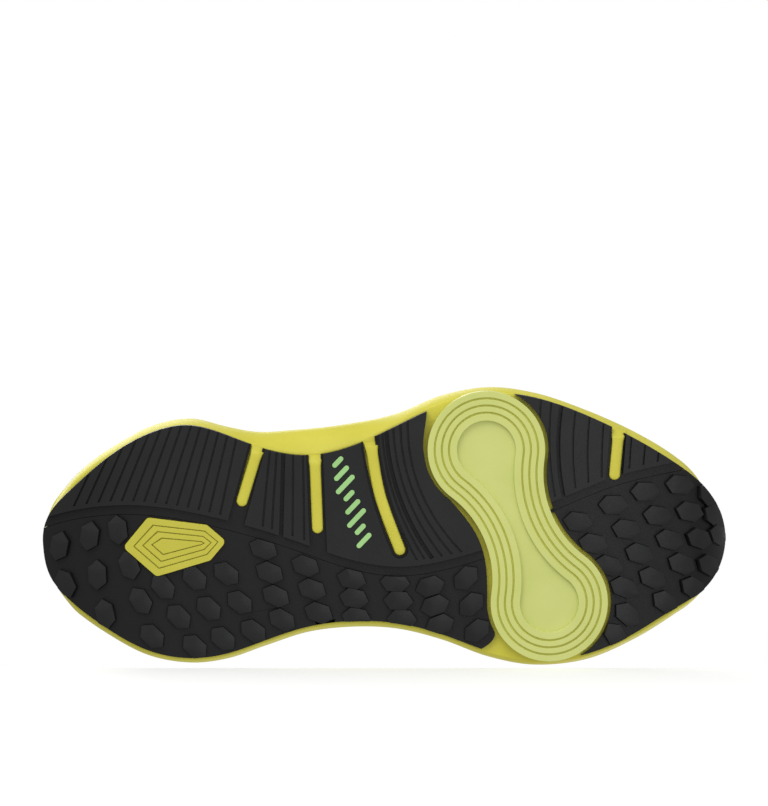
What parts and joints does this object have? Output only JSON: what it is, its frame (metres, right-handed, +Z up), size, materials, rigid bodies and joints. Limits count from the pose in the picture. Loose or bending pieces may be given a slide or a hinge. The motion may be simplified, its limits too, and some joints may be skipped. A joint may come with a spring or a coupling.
{
  "type": "running shoe",
  "caption": "Right trail running shoe: lugged and ribbed rubber tread, forefoot pod, foam midsole, laced textile upper with tongue and pull tab.",
  "frame": {"origin": "bottom centre of the whole shoe standing on a floor", "axes": "+X from the heel to the toe, +Y to the medial side (a right shoe), +Z up"},
  "size_m": [0.3008, 0.1232, 0.1292],
  "materials": {
    "foam_yellow": "matte moulded foam",
    "rubber_black": "satin moulded rubber",
    "pod_green": "satin moulded TPU",
    "insert_yellow": "satin moulded foam",
    "mark_green": "matte print",
    "board_cloth": "matte non-woven",
    "insole_foam": "matte textile on foam",
    "upper_mesh": "matte engineered mesh",
    "film_black": "satin welded film",
    "film_yellow": "satin welded film",
    "stiff_plastic": "matte",
    "padding_foam": "matte open foam",
    "lining_cloth": "matte knitted cloth",
    "tongue_cloth": "matte padded cloth",
    "lace_cord": "woven polyester",
    "webbing": "woven webbing"
  },
  "bodies": {
    "shoe": {"midsole": "foam_yellow", "outsole_lateral": "rubber_black", "outsole_medial": "rubber_black", "outsole_toe_lateral": "rubber_black", "outsole_toe": "rubber_black", "forefoot_pod": "pod_green", "heel_insert": "insert_yellow", "arch_mark": "mark_green", "strobel_board": "board_cloth", "insole": "insole_foam", "upper": "upper_mesh", "rand": "film_black", "toe_cap": "film_black", "heel_clip": "film_black", "eyestay_lateral": "film_black", "eyestay_medial": "film_black", "quarter_strap_lateral": "film_yellow", "quarter_strap_medial": "film_yellow", "heel_counter": "stiff_plastic", "toe_puff": "stiff_plastic", "collar_foam": "padding_foam", "collar_lining": "lining_cloth", "tongue": "tongue_cloth", "lace": "lace_cord", "pull_tab_anchor": "webbing"},
    "tongue_flap": {"tongue_flap": "tongue_cloth"},
    "pull_tab": {"heel_pull_tab": "webbing"}
  },
  "joints": [
    {"name": "tongue_hinge", "type": "hinge", "parent": "shoe", "child": "tongue_flap", "pos_m": [-0.0452, 0.00276, 0.10486], "axis": [0, 1, 0], "range_deg": [0, 40], "stiffness_Nm_per_rad": 0.015},
    {"name": "pull_tab_hinge", "type": "hinge", "parent": "shoe", "child": "pull_tab", "pos_m": [-0.1385, 0.007, 0.10523], "axis": [0, 1, 0], "range_deg": [-70, 45], "stiffness_Nm_per_rad": 0.015}
  ]
}
